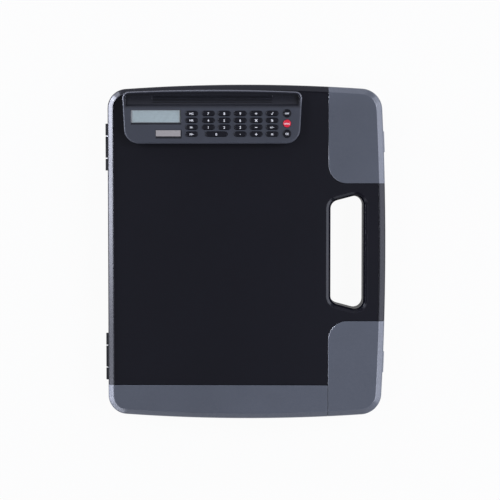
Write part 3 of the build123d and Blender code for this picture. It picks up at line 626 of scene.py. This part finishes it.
def floor_paper():
    """Grey paper that takes the case's shadow, under the white that the camera sees."""
    material = bpy.data.materials.new("floor_paper")
    material.use_nodes = True
    tree = material.node_tree
    tree.nodes.clear()
    paper = new_node(tree, "ShaderNodeBsdfDiffuse")
    paper.inputs["Color"].default_value = paper_grey
    shine = new_node(tree, "ShaderNodeEmission")
    shine.inputs["Color"].default_value = white
    shine.inputs["Strength"].default_value = white_level
    path = new_node(tree, "ShaderNodeLightPath")
    seen = new_node(tree, "ShaderNodeMath", operation="MAXIMUM")
    share = new_node(tree, "ShaderNodeMath", operation="MULTIPLY")
    share.inputs[1].default_value = seen_share
    mirrored = new_node(tree, "ShaderNodeMath", operation="MULTIPLY_ADD")
    mirrored.inputs[1].default_value = glossy_share
    mix = new_node(tree, "ShaderNodeMixShader")
    out = new_node(tree, "ShaderNodeOutputMaterial")
    for output, socket in (
        (path.outputs["Is Camera Ray"], seen.inputs[0]),
        (path.outputs["Is Transmission Ray"], seen.inputs[1]),
        (seen.outputs[0], share.inputs[0]),
        (path.outputs["Is Glossy Ray"], mirrored.inputs[0]),
        (share.outputs[0], mirrored.inputs[2]),
        (mirrored.outputs[0], mix.inputs["Fac"]),
        (paper.outputs[0], mix.inputs[1]),
        (shine.outputs[0], mix.inputs[2]),
        (mix.outputs[0], out.inputs["Surface"]),
    ):
        tree.links.new(output, socket)
    return material


def studio_floor():
    """A flat square of paper, just under the case."""
    sheet = bmesh.new()
    bmesh.ops.create_grid(sheet, x_segments=1, y_segments=1, size=floor_size / 2)
    bmesh.ops.translate(sheet, verts=sheet.verts, vec=(0.0, 0.0, cad_low.z - floor_drop))
    mesh = bpy.data.meshes.new("floor")
    sheet.to_mesh(mesh)
    sheet.free()
    mesh.materials.append(floor_paper())
    floor = bpy.data.objects.new("floor", mesh)
    scene.collection.objects.link(floor)


def studio_world():
    """Pale surroundings: white where the camera looks past the floor, dim as light."""
    world = bpy.data.worlds.new("studio")
    scene.world = world
    world.use_nodes = True
    tree = world.node_tree
    background = tree.nodes["Background"]
    background.inputs["Color"].default_value = white
    path = new_node(tree, "ShaderNodeLightPath")
    level = new_node(tree, "ShaderNodeMapRange")
    level.inputs["To Min"].default_value = world_level
    level.inputs["To Max"].default_value = white_level
    tree.links.new(path.outputs["Is Camera Ray"], level.inputs["Value"])
    tree.links.new(level.outputs[0], background.inputs["Strength"])


studio_floor()
studio_world()


# Lamps, each turned towards the middle of the case

case_middle = Vector((0.0, 0.0, 0.04))
cool_light = (0.925, 0.962, 1.14)

# A graded strip left of the case, from front to back: its two ends in Y and its radiance
strip_x = -1.15
strip_z = 0.12
strip_height = 0.22
left_strip = (
    (-0.76, -0.28, 8.5),
    (-0.28, -0.165, 5.2),
    (-0.165, -0.11, 7.0),
    (-0.11, -0.05, 11.0),
    (-0.05, 0.02, 16.0),
    (0.02, 0.10, 23.0),
    (0.10, 0.74, 30.0),
    (0.74, 1.02, 26.0),
)

# Softboxes round the case: place, length and height, radiance
softboxes = {
    "back_left": ((-0.85, 0.95, 0.12), (0.5, 0.22), 9.0),
    "front_left": ((-0.73, -1.01, 0.12), (0.76, 0.22), 6.0),
    "back_right": ((1.08, 0.76, 0.14), (0.5, 0.22), 3.0),
    "right_side": ((1.3, -0.1, 0.55), (1.7, 1.1), 3.2),
    "back_side": ((0.0, 1.3, 0.75), (1.8, 0.5), 0.8),
    "front_side": ((0.48, -1.16, 0.82), (0.5, 0.4), 1.3),
    "back_low": ((-0.1, 1.3, 0.14), (1.4, 0.26), 0.8),
}

# Square lamps overhead: the turn of each from X in degrees, and its radiance
overheads = {-28: 6.6, 28: 8.0, 152: 4.8, 208: 3.8}
overhead_size = (0.6, 0.6)
overhead_rise = math.radians(48)
overhead_distance = 2.1
overhead_z = overhead_distance * math.sin(overhead_rise)
overhead_reach = overhead_distance * math.cos(overhead_rise)


def softbox(name, place, size, radiance):
    """A rectangular lamp of even brightness."""
    lamp = bpy.data.lights.new(name, "AREA")
    lamp.shape = "RECTANGLE"
    lamp.size, lamp.size_y = size
    lamp.energy = radiance * math.pi * size[0] * size[1]
    lamp.color = cool_light
    holder = bpy.data.objects.new(name, lamp)
    holder.location = place
    holder.rotation_euler = (case_middle - Vector(place)).to_track_quat("-Z", "Y").to_euler()
    scene.collection.objects.link(holder)


for index, (front, back, radiance) in enumerate(left_strip):
    place = (strip_x, (front + back) / 2, strip_z)
    softbox(f"left_{index}", place, (back - front, strip_height), radiance)
for name, (place, size, radiance) in softboxes.items():
    softbox(name, place, size, radiance)
for turn, radiance in overheads.items():
    angle = math.radians(turn)
    place = (overhead_reach * math.cos(angle), overhead_reach * math.sin(angle), overhead_z)
    softbox(f"overhead_{turn}", place, overhead_size, radiance)


# Camera, straight above the case and a little towards its clip

camera_place = Vector((0.03, 0.07, 1.70))
camera_aim = Vector((0.0052, 0.0023, 0.03))
camera_lens = 109.7


def overhead_camera():
    """The photograph's camera: the clip's side of the case is up in its picture."""
    back = (camera_place - camera_aim).normalized()
    across = Vector((0, 1, 0)).cross(back).normalized()
    up = back.cross(across)
    turned = Matrix((across, up, back)).transposed()
    data = bpy.data.cameras.new("camera")
    data.lens = camera_lens
    camera = bpy.data.objects.new("camera", data)
    camera.matrix_world = Matrix.Translation(camera_place) @ turned.to_4x4()
    scene.collection.objects.link(camera)
    scene.camera = camera


overhead_camera()

scene.view_settings.view_transform = "Standard"
